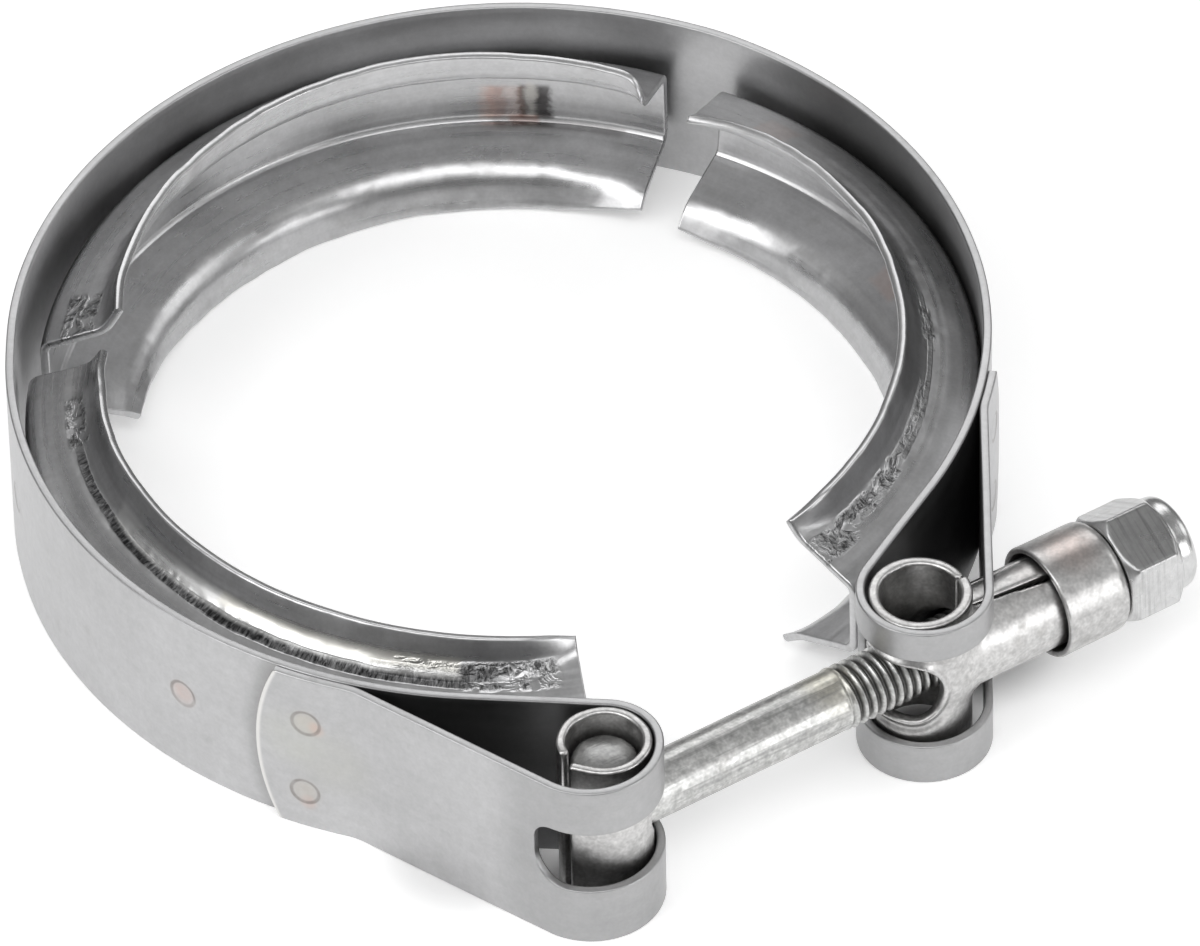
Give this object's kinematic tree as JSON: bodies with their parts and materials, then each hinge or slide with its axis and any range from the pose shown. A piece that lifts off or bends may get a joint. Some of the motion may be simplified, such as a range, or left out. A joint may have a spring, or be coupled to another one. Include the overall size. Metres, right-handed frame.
{
  "type": "v-band pipe clamp",
  "caption": "Stainless V-band pipe clamp: looped strap with spot-welded V segments, closed by a T-bolt, trunnions, cup washer and locknut.",
  "frame": {"origin": "on the pipe axis of the rear arc, at half the strap's width", "axes": "+Z along the pipe axis, +Y towards the closed back of the ring, the bolt lies on the -Y side and points to +X"},
  "size_m": [0.1418, 0.1399, 0.0243],
  "materials": {
    "strap_steel": "satin rolled stainless",
    "segment_steel": "formed stainless with draw marks",
    "bolt_steel": "satin, rolled thread",
    "trunnion_steel": "satin, slightly tinted",
    "nut_steel": "machined stainless"
  },
  "bodies": {
    "rear": {"band": "strap_steel", "segment_rear": "segment_steel"},
    "front": {"segment_front": "segment_steel"},
    "right": {"segment_right": "segment_steel"},
    "bolt": {"t_bolt": "bolt_steel", "sleeve_trunnion": "trunnion_steel"},
    "trunnion": {"tube_trunnion": "trunnion_steel"},
    "cup": {"cup_washer": "trunnion_steel"},
    "nut": {"locknut": "nut_steel"}
  },
  "joints": [
    {"name": "front_flex", "type": "hinge", "parent": "rear", "child": "front", "pos_m": [-0.05976, 0.00481, 0], "axis": [0, 0, 1], "range_deg": [0, 3.31], "deforming": ["band"]},
    {"name": "right_flex", "type": "hinge", "parent": "rear", "child": "right", "pos_m": [0.02675, 0.05365, 0], "axis": [0, 0, 1], "range_deg": [-3.31, 0], "deforming": ["band"]},
    {"name": "bolt_pivot", "type": "hinge", "parent": "front", "child": "bolt", "pos_m": [0.00978, -0.07039, 0], "axis": [0, 0, 1], "range_deg": [-1.62, 0]},
    {"name": "trunnion_pivot", "type": "hinge", "parent": "right", "child": "trunnion", "pos_m": [0.04761, -0.04646, 0], "axis": [0, 0, 1], "range_deg": [0, 5.01]},
    {"name": "nut_travel", "type": "slide", "parent": "bolt", "child": "cup", "axis": [0.8451, 0.5346, 0], "range_m": [-0.01125, 0]},
    {"name": "nut_spin", "type": "hinge", "parent": "cup", "child": "nut", "pos_m": [0.00978, -0.07039, 0.0007], "axis": [0.8451, 0.5346, 0], "range_deg": [0, 3240]}
  ],
  "couplings": [
    {"joint": "nut_travel", "follows": "nut_spin", "m_per_rad": -0.00019894},
    {"joint": "front_flex", "follows": "nut_spin", "ratio": 0.0010226},
    {"joint": "right_flex", "follows": "nut_spin", "ratio": -0.0010226},
    {"joint": "bolt_pivot", "follows": "nut_spin", "ratio": -0.00049852},
    {"joint": "trunnion_pivot", "follows": "nut_spin", "ratio": 0.0015467}
  ]
}
